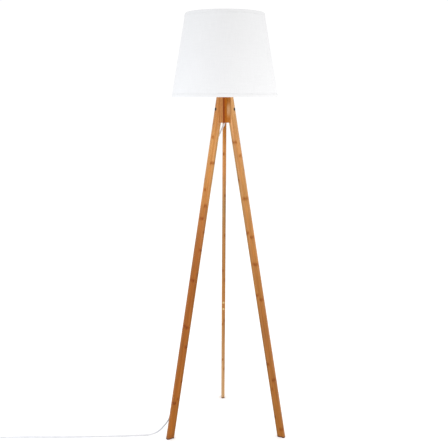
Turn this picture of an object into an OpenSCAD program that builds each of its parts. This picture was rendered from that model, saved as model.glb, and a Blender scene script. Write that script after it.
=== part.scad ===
// Tripod floor lamp: three spliced bamboo legs on a bamboo hub, a tapered fabric shade on an E27 holder,
// and a white mains lead with a foot switch and a two-pin plug.
// Millimetres. The origin is on the tripod's axis at the floor. +Z is up and the front is -Y.

/* [Legs] */
// Radius from the tripod's axis to a leg's outer face at the floor
foot_r = 239; // [232:1:246]
// Lean of each leg from the vertical, in degrees
splay = 10.08; // [9.9:0.02:10.3]
// Width of a slat, measured in the plane through the axis
leg_w = 25.4; // [24:0.1:26]
// Thickness of a slat
leg_t = 12.5; // [11.5:0.1:13.5]
// Rounding of a slat's long edges
leg_round = 1.2; // [0.6:0.1:2]
// Thickness of a foot pad
pad_h = 4; // [2:0.5:6]
// Distance along the leg from the floor to the foot of its half-lap splice
lap_low = 391; // [360:1:430]
// Length of the half-lap
lap_len = 50; // [42:1:60]

/* [Hub] */
// Height of the hub's underside
hub_z = 1093; // [1090:1:1096]
// Height of the hub block
hub_h = 97; // [92:1:100]
// Distance from the axis to each flat that carries a leg
hub_flat_r = 26; // [25:0.5:27]
// Distance from the axis to each free face between two legs
hub_face_r = 18.9; // [18.6:0.1:20]
// Height of the leg bolts
bolt_z = 1138; // [1130:1:1146]

/* [Shade] */
// Height of the shade's bottom edge
shade_z = 1178; // [1176:1:1180]
// Height of the shade
shade_h = 272; // [260:1:290]
// Outer radius of the shade's bottom edge
shade_bottom_r = 180; // [170:1:190]
// Outer radius of the shade's top edge
shade_top_r = 132; // [120:1:145]
// Height of the taped hem at each edge
hem_h = 10; // [8:1:14]

/* [Lead] */
// Diameter of the mains lead
cord_d = 5; // [5:0.1:5.2]

/* [Hidden] */

$fn = 64;
bamboo = [0.72, 0.45, 0.22];
bamboo_dark = [0.62, 0.36, 0.16];
pad_brown = [0.25, 0.15, 0.09];
white_fabric = [0.95, 0.95, 0.94];
white_plastic = [0.93, 0.93, 0.92];
black_steel = [0.12, 0.11, 0.10];
zinc = [0.75, 0.75, 0.73];
brass = [0.80, 0.65, 0.35];
cord_r = cord_d / 2;
core_r = 1.05;
relief_r = 3.3;
relief_taper = 0.05;

// Legs: the rear leg points to +Y, the other two come forward on each side.
ANGLE_REAR = 90;
ANGLE_LEFT = 210;
ANGLE_RIGHT = 330;
leg_angles = [ANGLE_REAR, ANGLE_LEFT, ANGLE_RIGHT];
lap_high = lap_low + lap_len;
leg_top_gap = 6;
leg_top_z = hub_z + hub_h - leg_top_gap;
reach = 2000;
bolt_seat_depth = 9.5;
bolt_seat_r = hub_flat_r + bolt_seat_depth;
bolt_hole_r = 3.2;
first_screw = 9.7;
second_screw = 36.6;
splice_screw_s = [lap_low + first_screw, lap_low + second_screw];
splice_head_r = 4.1;
splice_head_h = 2.6;
splice_shank_r = 1.5;
splice_shank_len = 18;
splice_clear_r = 2.05;
splice_pilot_r = 1.55;

// Leg bolt and threaded insert (M6)
m6_r = 3;
m6_gap = 0.04;
bolt_head_r = 5.25;
bolt_head_h = 3.3;
bolt_head_gap = 0.4;
bolt_len = 25;
socket_r = 2.3;
insert_r = 4.4;
insert_len = 13;
insert_gap = 0.03;

// Vertical threaded tube (M10 x 1) and what it carries
tube_r = 5;
tube_bore_r = 4;
tube_thread_gap = 0.02;
tube_side_gap = 0.25;
recess_r = 11;
recess_h = 9;
washer_r = 10;
washer_t = 1.5;
nut_af = 14;
nut_h = 4;
hub_top = hub_z + hub_h;
tube_inset = 2;
tube_stands_out = 17;
tube_z0 = hub_z + tube_inset;
tube_z1 = hub_top + tube_stands_out;

// Lampholder
holder_gap = 7;
holder_z = hub_top + holder_gap;
cap_h = 18;
cap_neck_r = 9;
cap_skirt_z = 12;
body_z = holder_z + cap_h;
body_h = 34;
body_r = 20;
body_crest = 0.25;
flange_z = body_z + 4;
flange_t = 3;
flange_r = 24;
ring_z = flange_z + flange_t;
ring_t = 1.6;
ring_out_r = 26;
ring_in_r = body_r + 0.4;
nut_ring_h = 8;
nut_ring_r = 23.4;
nut_ring_gap = 0.03;
insert_top = body_z + 8;
insert_h = 12;
insert_lip = 2;
insert_out_r = 16.55;
shell_z = insert_top;
shell_h = 22;
shell_r = 13.25;
shell_t = 0.5;
thread_pitch = 3.6;
terminal_x = 8;
terminal_z = body_z - 4;
terminal_h = 6;
terminal_w = 6;
terminal_d = 7;
pocket_gap = 0.1;
rivet_r = 1.25;
rivet_gap = 0.05;

// LED bulb
bulb_z = shell_z + 3;
bulb_cap_r = shell_r - 0.08;
bulb_cap_h = 20;
globe_r = 30;
globe_t = 1.2;
globe_c = bulb_z + 80;
neck_r = 16;
housing_rim_r = 24;
housing_wall = 2.5;
housing_neck_h = 8;
housing_top = globe_c - sqrt(globe_r * globe_r - housing_rim_r * housing_rim_r);
housing_cone_h = housing_top - bulb_z - bulb_cap_h - housing_neck_h;

// Shade
shade_top = shade_z + shade_h;
fabric_t = 0.6;
liner_t = 1.2;
tape_t = 0.5;
wire_r = 1.5;
function shade_r(z) = shade_bottom_r + (shade_top_r - shade_bottom_r) * (z - shade_z) / shade_h;
wire_gap = 0.2;
wire_in = fabric_t + liner_t + wire_r + wire_gap;
low_wire_z = shade_z + tape_t + wire_r + 0.3;
high_wire_z = shade_top - tape_t - wire_r - 0.3;
low_wire_r = shade_r(low_wire_z) - wire_in;
high_wire_r = shade_r(high_wire_z) - wire_in;
arm_r = 1.6;
arm_angles = [30, 150, 270];

// Route of the lead from the hub, down behind the left leg and over the floor to the foot switch
lead_route = [
    [0, 0, 1106], [0, 0, 1097], [-2, 0.5, 1088], [-7, 1.5, 1078], [-13, 0.5, 1065], [-20, -3, 1050],
    [-29.5, -6.5, 1030], [-40, -12.5, 1000], [-49, -18, 970], [-56, -22, 940], [-93, -43.5, 700],
    [-130, -64.5, 460], [-167, -86, 220], [-182.5, -95, 120], [-190, -93, 92], [-201, -89.5, 60],
    [-217, -88, 36.5], [-232, -88, 20], [-247, -88.3, 10], [-264, -89.2, 4.6], [-287, -90.3, 2.5],
    [-317, -91.5, 2.5], [-373, -94, 2.5], [-457, -95, 2.5], [-569, -95, 2.5], [-640, -93, 2.5],
    [-709, -90.5, 2.5], [-780, -91.5, 2.5], [-800, -92, 4], [-815, -92, 6], [-833, -92, 6]
];
// Route from the foot switch to the coil
tail_route = [
    [-897, -92, 6], [-915, -92, 6], [-928, -91, 4.5], [-939, -87, 3], [-947, -79, 3], [-950.5, -67, 3],
    [-950.5, -53, 3], [-947.5, -35, 3.3], [-944.5, -15, 3.3], [-943.5, 5, 3.3]
];
// Route from the coil to the plug
end_route = [
    [-943.5, 5, 8.3], [-943.5, 15, 7.9], [-943.5, 26, 5.8], [-943.5, 36, 3.9], [-943.5, 44, 3.6],
    [-943.5, 53, 5.4], [-943.5, 62, 6.85], [-943.5, 74, 6.85], [-943.5, 86, 6.85]
];
// Clips on the left leg's rear face: they hold the lead this far in from the leg's outer face
lead_inset = 12.1;
clip_w = 8;
clip_h = 6;
clip_axis = 2.75;
nail_x = 6.6;
// Stored coil: three turns, two places across and two high, on the strap's lower side
coil_pos = [-915, 5];
coil_in_r = 23.5;
coil_step = 5;
coil_z = 0.8;
tie_t = 0.8;
tie_w = 6;

// Foot switch
switch_pos = [-865, -92];
switch_len = 84;
switch_w = 36;
switch_split = 10;
switch_h = 22;
switch_wall = 2;
button_r = 12;
button_gap = 0.3;
button_top = 26;
spring_z = 11;
spring_top = 24;
spring_r = 4.6;
spring_wire = 0.5;
spring_turns = 5;
cord_entry_z = 6;
entry_r = 3.3;
core_end = 31.8;
post_r = 3;
post_places = [[-27, -11], [27, -11]];
post_screw_r = 1.25;
post_screw_head_r = 2.4;
post_screw_head_z = 0.2;
post_screw_head_h = 1;

// Plug, lying flat with its pins towards +Y
plug_pos = [-943.5, 86];
plug_len = 34;
plug_h = 13.7;
plug_face_w = 35;
plug_back_w = 14;
pin_gap = 18.6;
pin_len = 19;
pin_r = 2;
pin_core_r = 1.5;
sleeve_len = 10;
close_gap = 0.05;

// ---- helpers ----

// Point on a Catmull-Rom curve between b and c
function spline(a, b, c, d, t) =
    0.5 * (2 * b + (c - a) * t + (2 * a - 5 * b + 4 * c - d) * t * t + (3 * b - a - 3 * c + d) * t * t * t);
// The route with its stretches rounded, k points to a stretch, and never below the floor
function rounded(route, k) = [
    for (i = [0 : len(route) - 2])
        for (j = [0 : k - 1])
            let (
                before = route[max(i - 1, 0)],
                after = route[min(i + 2, len(route) - 1)],
                p = spline(before, route[i], route[i + 1], after, j / k)
            )
            [p.x, p.y, max(p.z, cord_r)],
    route[len(route) - 1]
];
function unit(v) = v / norm(v);
// Tangent at point i of a line
function along(line, i) = unit(line[min(i + 1, len(line) - 1)] - line[max(i - 1, 0)]);

// A closed tube down a line. radii has one radius for each point, and across is never parallel to the line.
module tube_along(line, radii, across, sides = 8) {
    rings = [
        for (i = [0 : len(line) - 1])
            let (
                t = along(line, i),
                u = unit(cross(t, across)),
                v = cross(u, t)
            )
            for (k = [0 : sides - 1])
                line[i] + radii[i] * (u * cos(360 * k / sides) + v * sin(360 * k / sides))
    ];
    last = (len(line) - 1) * sides;
    walls = [
        for (i = [0 : len(line) - 2])
            for (k = [0 : sides - 1])
                let (
                    a = i * sides + k,
                    b = i * sides + (k + 1) % sides
                )
                each [[a, b, b + sides], [a, b + sides, a + sides]]
    ];
    first_cap = [for (k = [0 : sides - 1]) sides - 1 - k];
    last_cap = [for (k = [0 : sides - 1]) last + k];
    polyhedron(points = rings, faces = concat(walls, [first_cap, last_cap]));
}

module cord_tube(route, k, across) {
    line = rounded(route, k);
    tube_along(line, [for (p = line) cord_r], across);
}

module pipe(outer, inner, h) {
    difference() {
        cylinder(r = outer, h = h);
        translate([0, 0, -1]) cylinder(r = inner, h = h + 2);
    }
}

// ---- legs ----

// A slat's section: its outer narrow face is at x = 0
module slat_section() {
    translate([-leg_w, leg_round - leg_t / 2]) square([leg_w, leg_t - 2 * leg_round]);
    translate([leg_round - leg_w, -leg_t / 2]) square([leg_w - 2 * leg_round, leg_t]);
    for (x = [leg_round - leg_w, -leg_round])
        for (y = [leg_round - leg_t / 2, leg_t / 2 - leg_round])
            translate([x, y]) circle(r = leg_round, $fn = 24);
}

module leaning() {
    translate([foot_r, 0, 0]) rotate([0, -splay, 0]) children();
}

module slat(from, to) {
    translate([0, 0, from]) linear_extrude(to - from) slat_section();
}

module splice_holes(r) {
    for (s = splice_screw_s)
        translate([-leg_w - 1, 0, s]) rotate([0, 90, 0]) cylinder(r = r, h = leg_w - 3, $fn = 32);
}

module screw_heads() {
    for (s = splice_screw_s)
        translate([-leg_w - 0.01, 0, s]) rotate([0, 90, 0]) cylinder(
            r1 = splice_head_r + 0.1,
            r2 = splice_shank_r + 0.4,
            h = splice_head_h,
            $fn = 32
        );
}

// Upper half of a leg. A flat-bottomed notch seats it under and against the hub.
module upper_leg(angle) {
    color(bamboo) rotate(angle) difference() {
        leaning() difference() {
            slat(lap_low, hub_top * 1.1);
            translate([-leg_w / 2, -leg_t, lap_low - 1]) cube([leg_w, 2 * leg_t, lap_len + 1]);
            splice_holes(splice_clear_r);
            screw_heads();
        }
        translate([hub_flat_r - reach, -leg_t, hub_z]) cube([reach, 2 * leg_t, reach]);
        translate([-reach / 2, -leg_t, leg_top_z]) cube([reach, 2 * leg_t, reach]);
        translate([0, 0, bolt_z]) rotate([0, 90, 0]) cylinder(r = bolt_hole_r, h = 100, $fn = 32);
        translate([bolt_seat_r, 0, bolt_z]) rotate([0, 90, 0])
            cylinder(r = bolt_head_r + bolt_head_gap, h = 30, $fn = 32);
    }
}

// Lower half of a leg. It is cut level for its pad.
module lower_leg(angle) {
    color(bamboo_dark) rotate(angle) difference() {
        leaning() difference() {
            slat(-20, lap_high);
            translate([-1.5 * leg_w, -leg_t, lap_low]) cube([leg_w, 2 * leg_t, lap_len + 1]);
            splice_holes(splice_pilot_r);
        }
        translate([0, -leg_t, pad_h - reach]) cube([2 * foot_r, 2 * leg_t, reach]);
    }
}

module splice_screws() {
    color(brass) for (angle = leg_angles)
        rotate(angle) leaning() for (s = splice_screw_s)
            translate([-leg_w, 0, s]) rotate([0, 90, 0]) {
                difference() {
                    cylinder(r1 = splice_head_r, r2 = splice_shank_r, h = splice_head_h, $fn = 32);
                    for (turn = [0, 90])
                        rotate(turn) translate([-2, -0.4, -1]) cube([4, 0.8, 2.2]);
                }
                translate([0, 0, 1.5]) cylinder(r = splice_shank_r, h = splice_shank_len, $fn = 24);
            }
}

// Pads with a leg's own level section
module foot_pads() {
    color(pad_brown) for (angle = leg_angles)
        rotate(angle) intersection() {
            leaning() slat(-20, 20);
            translate([0, -leg_t, 0]) cube([2 * foot_r, 2 * leg_t, pad_h]);
        }
}

// ---- hub ----

module hub_outline() {
    intersection_for(angle = leg_angles) {
        rotate(angle) translate([-hub_face_r, -reach / 2]) square([hub_face_r + hub_flat_r, reach]);
    }
}

module hub_block() {
    color(bamboo) difference() {
        translate([0, 0, hub_z]) linear_extrude(hub_h) hub_outline();
        translate([0, 0, hub_z - 1]) cylinder(r = tube_r + tube_side_gap, h = hub_h + 2);
        translate([0, 0, hub_z - 1]) cylinder(r = recess_r, h = recess_h + 1);
        for (angle = leg_angles)
            rotate(angle) translate([0, 0, bolt_z]) rotate([0, 90, 0]) {
                cylinder(r = bolt_hole_r, h = hub_flat_r, $fn = 32);
                translate([0, 0, hub_flat_r - insert_len])
                    cylinder(r = insert_r, h = insert_len + 1, $fn = 32);
            }
    }
}

module hub_inserts() {
    color(zinc) for (angle = leg_angles)
        rotate(angle) translate([0, 0, bolt_z]) rotate([0, 90, 0])
            translate([0, 0, hub_flat_r - insert_len])
                pipe(insert_r - insert_gap, m6_r + m6_gap, insert_len, $fn = 32);
}

// Button-head bolts with a hexagon socket
module leg_bolts() {
    color(black_steel) for (angle = leg_angles)
        rotate(angle) translate([0, 0, bolt_z]) rotate([0, 90, 0]) {
            translate([0, 0, bolt_seat_r - bolt_len]) cylinder(r = m6_r, h = bolt_len, $fn = 32);
            difference() {
                translate([0, 0, bolt_seat_r]) rotate_extrude($fn = 48) bolt_head_profile();
                translate([0, 0, bolt_seat_r + bolt_head_h - 2]) cylinder(r = socket_r, h = 3, $fn = 6);
            }
        }
}

// Half of a domed head: an arc over a short rim
module bolt_head_profile() {
    rim = 0.9;
    dome = bolt_head_h - rim;
    big = (bolt_head_r * bolt_head_r + dome * dome) / (2 * dome);
    square([bolt_head_r, rim]);
    intersection() {
        translate([0, rim + dome - big]) circle(r = big, $fn = 128);
        square([bolt_head_r, bolt_head_h]);
    }
}

module threaded_tube() {
    color(zinc) translate([0, 0, tube_z0]) pipe(tube_r, tube_bore_r, tube_z1 - tube_z0, $fn = 48);
}

module tube_nuts() {
    recess_top = hub_z + recess_h;
    color(zinc) for (z = [recess_top - washer_t - nut_h, hub_top + washer_t])
        translate([0, 0, z]) difference() {
            cylinder(d = nut_af / cos(30), h = nut_h, $fn = 6);
            translate([0, 0, -1]) cylinder(r = tube_r + tube_thread_gap, h = nut_h + 2, $fn = 48);
        }
}

module tube_washers() {
    color(zinc) for (z = [hub_z + recess_h - washer_t, hub_top])
        translate([0, 0, z]) pipe(washer_r, tube_r + 0.2, washer_t, $fn = 48);
}

// ---- lampholder ----

module holder_cap() {
    color(white_plastic) translate([0, 0, holder_z]) difference() {
        union() {
            cylinder(r = cap_neck_r, h = 6);
            translate([0, 0, 4]) cylinder(r1 = cap_neck_r + 3, r2 = body_r - 1, h = cap_skirt_z - 4);
            translate([0, 0, cap_skirt_z]) cylinder(r = body_r - 1, h = cap_h - cap_skirt_z);
        }
        translate([0, 0, -1]) cylinder(r = tube_r + tube_thread_gap, h = cap_h, $fn = 48);
        translate([0, 0, 10.5]) cylinder(r = body_r - 3, h = cap_h);
    }
}

// Threaded barrel with a flange that carries the shade
module holder_body() {
    color(white_plastic) translate([0, 0, body_z]) difference() {
        union() {
            cylinder(r = body_r, h = body_h);
            translate([0, 0, flange_z - body_z]) cylinder(r = flange_r, h = flange_t);
            for (z = [ring_z - body_z + 3 : 2.5 : body_h - 3])
                translate([0, 0, z]) cylinder(r = body_r + body_crest, h = 1.2);
        }
        translate([0, 0, -1]) cylinder(r = insert_out_r + 0.2, h = body_h + 2);
    }
}

module holder_insert() {
    color([0.9, 0.88, 0.84]) translate([0, 0, insert_top - insert_h]) difference() {
        cylinder(r = insert_out_r, h = insert_h + insert_lip);
        translate([0, 0, insert_h]) cylinder(r = shell_r + 1, h = insert_lip + 1);
        for (side = [-1, 1])
            translate([side * terminal_x, 0, 0]) {
                translate([-terminal_w / 2 - pocket_gap, -terminal_d / 2 - pocket_gap, -1])
                    cube([terminal_w + 2 * pocket_gap, terminal_d + 2 * pocket_gap, terminal_h + 1]);
                cylinder(r = rivet_r + rivet_gap, h = insert_h + 1, $fn = 24);
            }
    }
}

// E27 shell, its thread drawn as shallow rings
module holder_thread_shell() {
    color(brass) translate([0, 0, shell_z]) difference() {
        union() {
            cylinder(r = shell_r + shell_t, h = shell_h);
            for (z = [5 : thread_pitch : shell_h - 2])
                translate([0, 0, z]) cylinder(r = shell_r + shell_t + 0.4, h = 1.6);
        }
        translate([0, 0, -1]) cylinder(r = shell_r, h = shell_h + 2);
    }
}

// Tongue that the bulb's centre presses on
module holder_centre_contact() {
    color(brass) translate([0, -2.5, insert_top]) {
        translate([-1, 0, 0]) cube([terminal_x + 1, 5, 0.6]);
        translate([-1, 0, 0.6]) cube([3.5, 5, 1.1]);
    }
}

// Two terminal blocks, each with a rivet up through the insert.
// The left one's strip reaches the thread shell.
module holder_terminals() {
    rivet_z = terminal_z + terminal_h;
    color(brass) {
        for (side = [-1, 1])
            translate([side * terminal_x, 0, 0]) {
                difference() {
                    translate([-terminal_w / 2, -terminal_d / 2, terminal_z])
                        cube([terminal_w, terminal_d, terminal_h]);
                    translate([0, 0, terminal_z - 1]) cylinder(r = rivet_r, h = 5, $fn = 24);
                    translate([0, -terminal_d / 2 - 1, terminal_z + 3]) rotate([-90, 0, 0])
                        cylinder(r = rivet_r + rivet_gap, h = 4, $fn = 24);
                }
                translate([0, 0, rivet_z]) cylinder(r = rivet_r, h = insert_top - rivet_z, $fn = 24);
            }
        translate([0.1 - shell_r, -1.5, insert_top]) cube([shell_r - terminal_x + 1.5, 3, 0.6]);
    }
}

module terminal_screws() {
    color(zinc) for (side = [-1, 1])
        translate([side * terminal_x, -terminal_d / 2, terminal_z + 3]) rotate([-90, 0, 0])
            cylinder(r = rivet_r, h = 2.2, $fn = 24);
}

// Core from the end of the sheath, up the tube and over to its terminal
module core(side) {
    line = [
        [1.2, 1106.5], [1.2, tube_z1 - 3], [1.5, tube_z1 - 0.5], [3.2, tube_z1 + 1.5],
        [6, terminal_z - 1.9], [7.7, terminal_z - 0.8], [terminal_x, terminal_z + 0.6],
        [terminal_x, terminal_z + 2.8]
    ];
    tube_along([for (p = line) [side * p.x, 0, p.y]], [for (p = line) core_r], [0, 1, 0]);
}

module live_core() {
    color("saddlebrown") core(1);
}

module neutral_core() {
    color("steelblue") core(-1);
}

module shade_ring_nut() {
    color(white_plastic) translate([0, 0, ring_z + ring_t]) difference() {
        union() {
            cylinder(r = ring_out_r, h = 2.5);
            cylinder(r = nut_ring_r, h = nut_ring_h);
            for (a = [0 : 15 : 345])
                rotate(a) translate([nut_ring_r - 0.2, 0, 0]) cylinder(r = 0.8, h = nut_ring_h, $fn = 16);
        }
        translate([0, 0, -1]) cylinder(r = body_r + body_crest + nut_ring_gap, h = nut_ring_h + 2);
    }
}

// ---- bulb ----

// The cap's thread is drawn as shallow grooves
module bulb_cap() {
    color(zinc) translate([0, 0, bulb_z]) difference() {
        cylinder(r = bulb_cap_r, h = bulb_cap_h);
        for (z = [3 : thread_pitch : bulb_cap_h - 4])
            translate([0, 0, z]) pipe(bulb_cap_r + 1, bulb_cap_r - 0.5, 1.6);
        translate([0, 0, -1]) cylinder(r = 11.2, h = bulb_cap_h + 2);
    }
}

module bulb_insulator() {
    color("black") translate([0, 0, bulb_z - 1]) difference() {
        union() {
            cylinder(r = 11, h = 3);
            cylinder(r = 6, h = 4);
        }
        translate([0, 0, -1]) cylinder(r = 4.6, h = 6);
    }
}

module bulb_contact() {
    color(zinc) translate([0, 0, bulb_z - 1]) cylinder(r = 4.5, h = 2);
}

module bulb_housing() {
    neck_z = bulb_cap_h + housing_neck_h;
    color(white_plastic) translate([0, 0, bulb_z]) difference() {
        union() {
            translate([0, 0, 4]) cylinder(r = 11, h = 18);
            translate([0, 0, bulb_cap_h]) cylinder(r1 = 13.4, r2 = neck_r, h = housing_neck_h);
            translate([0, 0, neck_z]) cylinder(r1 = neck_r, r2 = housing_rim_r, h = housing_cone_h);
        }
        translate([0, 0, 6]) cylinder(r = 9, h = 22);
        translate([0, 0, neck_z - 1]) cylinder(
            r1 = neck_r - housing_wall - 0.2,
            r2 = housing_rim_r - housing_wall + 0.2,
            h = housing_cone_h + 2
        );
    }
}

// Opal globe, open at its neck where it sits on the housing
module bulb_globe() {
    color("white") translate([0, 0, globe_c]) difference() {
        sphere(r = globe_r);
        sphere(r = globe_r - globe_t);
        translate([0, 0, housing_top - globe_c - 2 * globe_r]) cylinder(r = globe_r + 1, h = 2 * globe_r);
    }
}

// ---- shade ----

// A tapered band that follows the shade: its outer face lies inset from the shade's outer surface
module taper(inset, t, z0, z1) {
    rotate_extrude($fn = 128) polygon([
        [shade_r(z0) - inset - t, z0], [shade_r(z0) - inset, z0],
        [shade_r(z1) - inset, z1], [shade_r(z1) - inset - t, z1]
    ]);
}

module shade_fabric() {
    color(white_fabric) taper(tape_t, fabric_t, shade_z + tape_t, shade_top - tape_t);
}

module shade_liner() {
    color(white_fabric) taper(tape_t + fabric_t, liner_t, shade_z + tape_t, shade_top - tape_t);
}

// Tape folded over an edge: outer leg, edge, and an inner leg that stands beside the wire
module hem_tape(z_edge, up, inner_leg_h) {
    inner = 2 * wire_r + wire_gap + 0.4;
    stack = tape_t + fabric_t + liner_t;
    z_in = z_edge + up * tape_t;
    z_outer = z_edge + up * hem_h;
    z_inner = z_edge + up * inner_leg_h;
    taper(0, tape_t, min(z_edge, z_outer), max(z_edge, z_outer));
    taper(0, stack + inner + tape_t, min(z_edge, z_in), max(z_edge, z_in));
    taper(stack + inner, tape_t, min(z_edge, z_inner), max(z_edge, z_inner));
}

module top_hem_tape() {
    color(white_fabric) hem_tape(shade_top, -1, 4.5);
}

// Its inner leg stays under the spider's arms
module bottom_hem_tape() {
    color(white_fabric) hem_tape(shade_z, 1, 1.6);
}

module wire_ring(r, z) {
    translate([0, 0, z]) rotate_extrude($fn = 96) translate([r, 0]) circle(r = wire_r, $fn = 24);
}

module top_ring_wire() {
    color("white") wire_ring(high_wire_r - tape_t, high_wire_z);
}

module bottom_ring_wire() {
    color("white") wire_ring(low_wire_r - tape_t, low_wire_z);
}

module spider_ring() {
    color("white") translate([0, 0, ring_z]) pipe(ring_out_r, ring_in_r, ring_t);
}

// Three rods from the holder's ring down to the bottom wire, cut to meet both
module spider_arms() {
    from = [ring_out_r, ring_z + ring_t / 2];
    to = [low_wire_r - tape_t - wire_r, low_wire_z + 1.1];
    run = to.x - from.x;
    drop = from.y - to.y;
    spare = 3;
    color("white") intersection() {
        for (angle = arm_angles)
            rotate(angle) translate([from.x, 0, from.y]) rotate([0, 90 + atan2(drop, run), 0])
                translate([0, 0, -spare]) cylinder(r = arm_r, h = norm([run, drop]) + 2 * spare, $fn = 24);
        translate([0, 0, shade_z]) pipe(to.x, from.x, shade_h);
    }
}

// ---- lead ----

// Flexible sleeve on the lead where it leaves the threaded tube
module cord_relief() {
    line = rounded([for (i = [1 : 4]) lead_route[i]], 4);
    radii = [for (i = [0 : len(line) - 1]) relief_r - relief_taper * i];
    color(white_plastic) tube_along(line, radii, [0, 1, 0], 12);
}

module lead_cord() {
    color(white_plastic) cord_tube(lead_route, 2, [0, 1, 0]);
}

clip_heights = [940, 700, 470, 240, 120];
function lead_line_r(z) = foot_r - z * tan(splay) - lead_inset / cos(splay);

// Local frame of a clip: on the left leg's rear face, +Y away from the face, +Z up the leg
module at_clip(z) {
    rotate(ANGLE_LEFT) translate([lead_line_r(z), 0, z]) rotate([0, -splay, 0])
        translate([0, -leg_t / 2, 0]) mirror([0, 1, 0]) children();
}

module cord_clips() {
    color(white_plastic) for (z = clip_heights)
        at_clip(z) difference() {
            union() {
                translate([-clip_w / 2, 0, -clip_h / 2]) cube([clip_w, clip_axis, clip_h]);
                translate([0, clip_axis, -clip_h / 2]) cylinder(d = clip_w, h = clip_h, $fn = 32);
                translate([3, 0, -clip_h / 2]) cube([6, 3, clip_h]);
            }
            translate([0, clip_axis, -4]) cylinder(r = cord_r + 0.25, h = 8, $fn = 32);
            translate([-cord_r - 0.25, -1, -4]) cube([2 * cord_r + 0.5, clip_axis + 1, 8]);
            translate([-8, -5, -4]) cube([16, 5, 8]);
            translate([nail_x, -1, 0]) rotate([-90, 0, 0]) cylinder(r = 0.8, h = 6, $fn = 16);
        }
}

module clip_nails() {
    color(zinc) for (z = clip_heights)
        at_clip(z) translate([nail_x, 0, 0]) rotate([-90, 0, 0]) {
            translate([0, 0, 3]) cylinder(r = 1.6, h = 0.8, $fn = 24);
            translate([0, 0, 0.05]) cylinder(r = 0.7, h = 3, $fn = 24);
        }
}

// ---- foot switch ----

module obround(w, l) {
    square([l - w, w], center = true);
    for (s = [-1, 1])
        translate([s * (l - w) / 2, 0]) circle(d = w);
}

module at_switch() {
    translate([switch_pos.x, switch_pos.y, 0]) children();
}

// The lead's two ways in, half in the base and half in the cover
module switch_entries() {
    for (s = [-1, 1])
        translate([s * (switch_len / 2 - 6), 0, cord_entry_z]) rotate([0, s * 90, 0])
            cylinder(r = entry_r, h = 12);
}

module switch_base() {
    head_top = post_screw_head_z + post_screw_head_h;
    color(white_plastic) at_switch() difference() {
        linear_extrude(switch_split) obround(switch_w, switch_len);
        translate([0, 0, switch_wall]) linear_extrude(switch_split)
            obround(switch_w - 2 * switch_wall, switch_len - 2 * switch_wall);
        switch_entries();
        for (place = post_places)
            translate([place.x, place.y, -1]) {
                cylinder(r = post_screw_r + 0.2, h = 5, $fn = 24);
                cylinder(r = post_screw_head_r + 0.2, h = 1 + head_top, $fn = 32);
            }
    }
}

// Rounded shell with two posts that reach the base's floor
module switch_cover() {
    ceiling = switch_h - switch_wall;
    color(white_plastic) at_switch() difference() {
        union() {
            difference() {
                hull() {
                    translate([0, 0, switch_split]) linear_extrude(7)
                        obround(switch_w, switch_len, $fn = 32);
                    translate([0, 0, switch_split]) linear_extrude(10.5)
                        obround(switch_w - 3, switch_len - 3, $fn = 32);
                    translate([0, 0, switch_split]) linear_extrude(switch_h - switch_split)
                        obround(switch_w - 7, switch_len - 7, $fn = 32);
                }
                translate([0, 0, switch_split - 1]) linear_extrude(7)
                    obround(switch_w - 2 * switch_wall, switch_len - 2 * switch_wall);
                translate([0, 0, switch_split]) linear_extrude(ceiling - switch_split)
                    obround(switch_w - 8, switch_len - 8);
                translate([0, 0, switch_split]) cylinder(r = button_r + button_gap, h = switch_h);
            }
            for (place = post_places)
                translate([place.x, place.y, switch_wall])
                    cylinder(r = post_r, h = ceiling - switch_wall + 1);
        }
        for (place = post_places)
            translate([place.x, place.y, 0]) cylinder(r = post_screw_r + 0.02, h = 12, $fn = 32);
    }
}

// Push button: a cup with a flange that stops under the cover
module switch_button() {
    flange_top = switch_h - 2 - button_gap;
    color(white_plastic) at_switch() difference() {
        union() {
            translate([0, 0, flange_top - 1.5]) cylinder(r = button_r, h = button_top - flange_top + 0.3);
            translate([0, 0, flange_top - 1.5]) cylinder(r = button_r + 1.6, h = 1.5);
            translate([0, 0, button_top - 1.2]) cylinder(r1 = button_r, r2 = button_r - 1.2, h = 1.2);
        }
        translate([0, 0, flange_top - 3]) cylinder(r = button_r - 2, h = spring_top - flange_top + 3);
    }
}

module switch_spring() {
    steps = 12;
    n = spring_turns * steps;
    pitch_h = spring_top - spring_z - 2 * spring_wire - 0.2;
    line = [
        for (i = [0 : n])
            [
                switch_pos.x + spring_r * cos(360 * i / steps),
                switch_pos.y + spring_r * sin(360 * i / steps),
                spring_z + spring_wire + 0.1 + pitch_h * i / n
            ]
    ];
    color(zinc) tube_along(line, [for (p = line) spring_wire], [0, 0, 1], 6);
}

// Contact block that the button works
module switch_block() {
    color([0.2, 0.2, 0.2]) at_switch() translate([0, 0, switch_wall]) difference() {
        translate([-11, -9, 0]) cube([22, 18, spring_z - switch_wall]);
        for (s = [-1, 1])
            translate([s * 5, -3, cord_entry_z - switch_wall]) rotate([0, s * 90, 0])
                cylinder(r = 1.2, h = 8, $fn = 24);
    }
}

// Two screws up through the base into the cover's posts
module switch_screws() {
    color(zinc) at_switch() for (place = post_places)
        translate([place.x, place.y, post_screw_head_z]) {
            cylinder(r = post_screw_head_r, h = post_screw_head_h, $fn = 32);
            cylinder(r = post_screw_r, h = 10, $fn = 32);
        }
}

module switch_clamps() {
    color(white_plastic) at_switch() for (s = [-1, 1])
        translate([s * 34 - 2, -9, 0]) {
            translate([0, 0, cord_entry_z + cord_r]) cube([4, 18, 1.8]);
            translate([0, 0, switch_wall]) cube([4, 3, cord_entry_z + cord_r - switch_wall]);
            translate([0, 15, switch_wall]) cube([4, 3, cord_entry_z + cord_r - switch_wall]);
        }
}

// The live core is cut and goes to the block from both sides
module switch_live_core() {
    color("saddlebrown") for (s = [-1, 1])
        tube_along(
            [
                for (p = [[core_end, -1.2], [24, -2.6], [16, -3], [6, -3]])
                    [switch_pos.x + s * p.x, switch_pos.y + p.y, cord_entry_z]
            ],
            [1, 1, 1, 1],
            [0, 0, 1]
        );
}

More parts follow.
